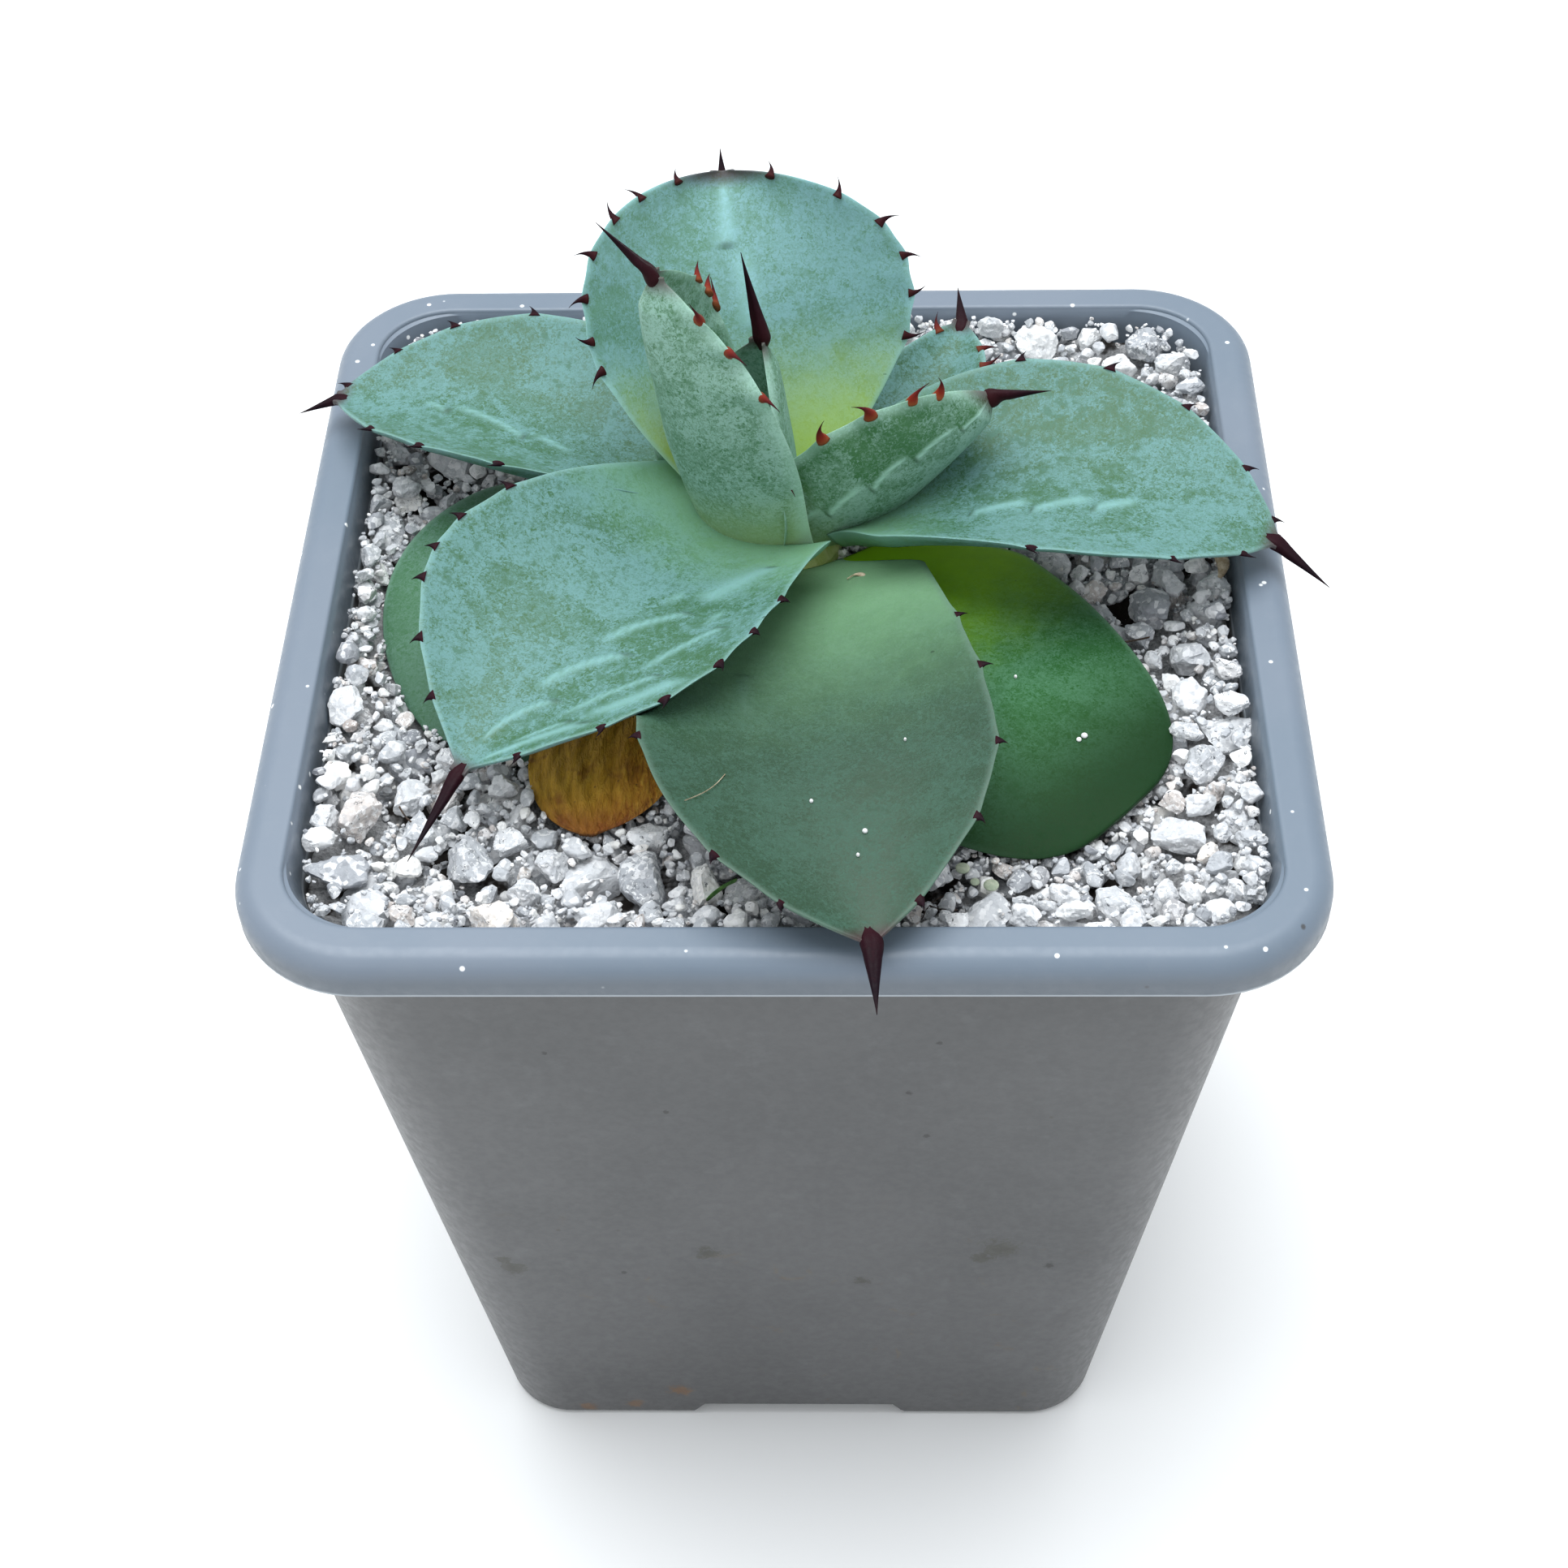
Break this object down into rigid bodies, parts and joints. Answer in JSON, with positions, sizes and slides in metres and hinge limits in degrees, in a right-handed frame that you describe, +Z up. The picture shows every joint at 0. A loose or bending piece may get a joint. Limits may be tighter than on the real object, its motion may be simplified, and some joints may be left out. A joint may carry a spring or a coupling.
{
  "type": "potted agave",
  "caption": "Small rosette of toothed blue-green succulent leaves in a tapered square plastic pot, top-dressed with pumice.",
  "frame": {"origin": "middle of the pot's flat underside, on the surface it stands on", "axes": "+Z up, +Y away from the front of the pot, +X to its right"},
  "size_m": [0.1162, 0.1197, 0.1517],
  "materials": {
    "pot": "smooth moulded blue-grey plastic, semi-gloss",
    "potting_mix": "dark crumbly potting mix",
    "pumice": "rough white and grey pumice",
    "stem": "pale green fleshy stem and roots",
    "leaf": "waxy blue-green bloom",
    "leaf_low": "dark green, faintly glossy",
    "dead_leaf": "dry orange-brown leaf"
  },
  "bodies": {
    "root": {"leaf_back": "leaf", "leaf_back_right": "leaf", "leaf_bud": "leaf", "leaf_dead": "dead_leaf", "leaf_front": "leaf", "leaf_front_left": "leaf", "leaf_heart": "leaf", "leaf_inner_left": "leaf", "leaf_inner_right": "leaf", "leaf_left": "leaf", "leaf_low_left": "leaf_low", "leaf_low_right": "leaf_low", "leaf_right": "leaf", "pot": "pot", "potting_mix": "potting_mix", "pumice_dressing": "pumice", "stem": "stem", "stone_back_1": "pumice", "stone_back_10": "pumice", "stone_back_2": "pumice", "stone_back_3": "pumice", "stone_back_4": "pumice", "stone_back_5": "pumice", "stone_back_6": "pumice", "stone_back_7": "pumice", "stone_back_8": "pumice", "stone_back_9": "pumice", "stone_front_1": "pumice", "stone_front_2": "pumice", "stone_front_3": "pumice", "stone_front_4": "pumice", "stone_front_5": "pumice", "stone_front_6": "pumice", "stone_front_7": "pumice", "stone_front_8": "pumice", "stone_left_1": "pumice", "stone_left_2": "pumice", "stone_left_3": "pumice", "stone_left_4": "pumice", "stone_left_5": "pumice", "stone_left_6": "pumice", "stone_right_1": "pumice", "stone_right_2": "pumice", "stone_right_3": "pumice", "stone_right_4": "pumice", "stone_right_5": "pumice", "stone_right_6": "pumice", "stone_right_7": "pumice", "stone_right_8": "pumice", "stone_right_9": "pumice"}
  },
  "joints": []
}
